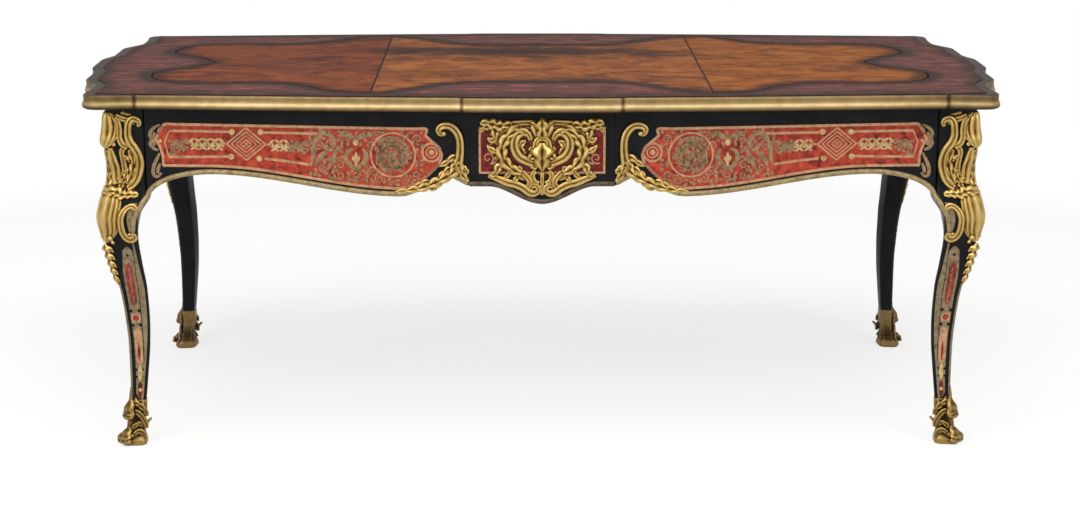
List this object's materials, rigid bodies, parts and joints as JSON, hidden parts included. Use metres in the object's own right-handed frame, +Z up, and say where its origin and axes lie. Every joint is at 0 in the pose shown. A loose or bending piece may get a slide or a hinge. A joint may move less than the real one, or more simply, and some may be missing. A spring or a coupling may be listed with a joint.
{
  "type": "centre table",
  "caption": "Serpentine centre table on cabriole legs with a frieze drawer, red shell and brass marquetry plaques, gilt brass mounts and a veneered top with a moulded brass edge.",
  "frame": {"origin": "on the floor, under the middle of the top", "axes": "+X along the length towards the right as seen from the front, -Y towards the drawer front, +Z up"},
  "size_m": [2, 1, 0.77],
  "materials": {
    "gilt_brass": "aged gilt",
    "ebonised_wood": "polished ebonised",
    "shell_marquetry": "polished shell and brass",
    "burr_veneer": "polished",
    "border_veneer": "polished",
    "dark_stringing": "polished",
    "oak": "planed",
    "steel": "filed"
  },
  "bodies": {
    "table": {"top_core": "oak", "top_border_veneer": "border_veneer", "top_stringing": "dark_stringing", "top_field_left": "burr_veneer", "top_field_centre": "burr_veneer", "top_field_right": "burr_veneer", "edge_moulding_front_left": "gilt_brass", "edge_moulding_front_centre": "gilt_brass", "edge_moulding_front_right": "gilt_brass", "edge_moulding_back_left": "gilt_brass", "edge_moulding_back_centre": "gilt_brass", "edge_moulding_back_right": "gilt_brass", "edge_moulding_end_left": "gilt_brass", "edge_moulding_end_right": "gilt_brass", "edge_corner_front_left": "gilt_brass", "edge_corner_front_right": "gilt_brass", "edge_corner_back_left": "gilt_brass", "edge_corner_back_right": "gilt_brass", "leg_front_left": "ebonised_wood", "leg_front_right": "ebonised_wood", "leg_back_left": "ebonised_wood", "leg_back_right": "ebonised_wood", "apron_front_left": "ebonised_wood", "apron_front_right": "ebonised_wood", "apron_back": "ebonised_wood", "apron_end_left": "ebonised_wood", "apron_end_right": "ebonised_wood", "front_top_rail": "oak", "drawer_runner_left": "oak", "drawer_runner_right": "oak", "plaque_front_left": "shell_marquetry", "plaque_front_right": "shell_marquetry", "plaque_back_left": "shell_marquetry", "plaque_back_centre": "shell_marquetry", "plaque_back_right": "shell_marquetry", "plaque_end_left": "shell_marquetry", "plaque_end_right": "shell_marquetry", "corner_mount_front_left": "gilt_brass", "corner_mount_front_right": "gilt_brass", "corner_mount_back_left": "gilt_brass", "corner_mount_back_right": "gilt_brass", "sabot_front_left": "gilt_brass", "sabot_front_right": "gilt_brass", "sabot_back_left": "gilt_brass", "sabot_back_right": "gilt_brass", "cartouche_back": "gilt_brass", "scroll_mount_front_left": "gilt_brass", "scroll_mount_front_right": "gilt_brass", "scroll_mount_back_left": "gilt_brass", "scroll_mount_back_right": "gilt_brass"},
    "drawer": {"drawer_front": "ebonised_wood", "plaque_drawer": "shell_marquetry", "cartouche_drawer": "gilt_brass", "drawer_side_left": "oak", "drawer_side_right": "oak", "drawer_back": "oak", "drawer_bottom": "oak", "drawer_lock": "steel"},
    "bolt": {"lock_bolt": "steel"}
  },
  "joints": [
    {"name": "drawer_slide", "type": "slide", "parent": "table", "child": "drawer", "axis": [0, -1, 0], "range_m": [0, 0.36]},
    {"name": "lock_bolt_slide", "type": "slide", "parent": "drawer", "child": "bolt", "axis": [0, 0, 1], "range_m": [0, 0.012]}
  ]
}
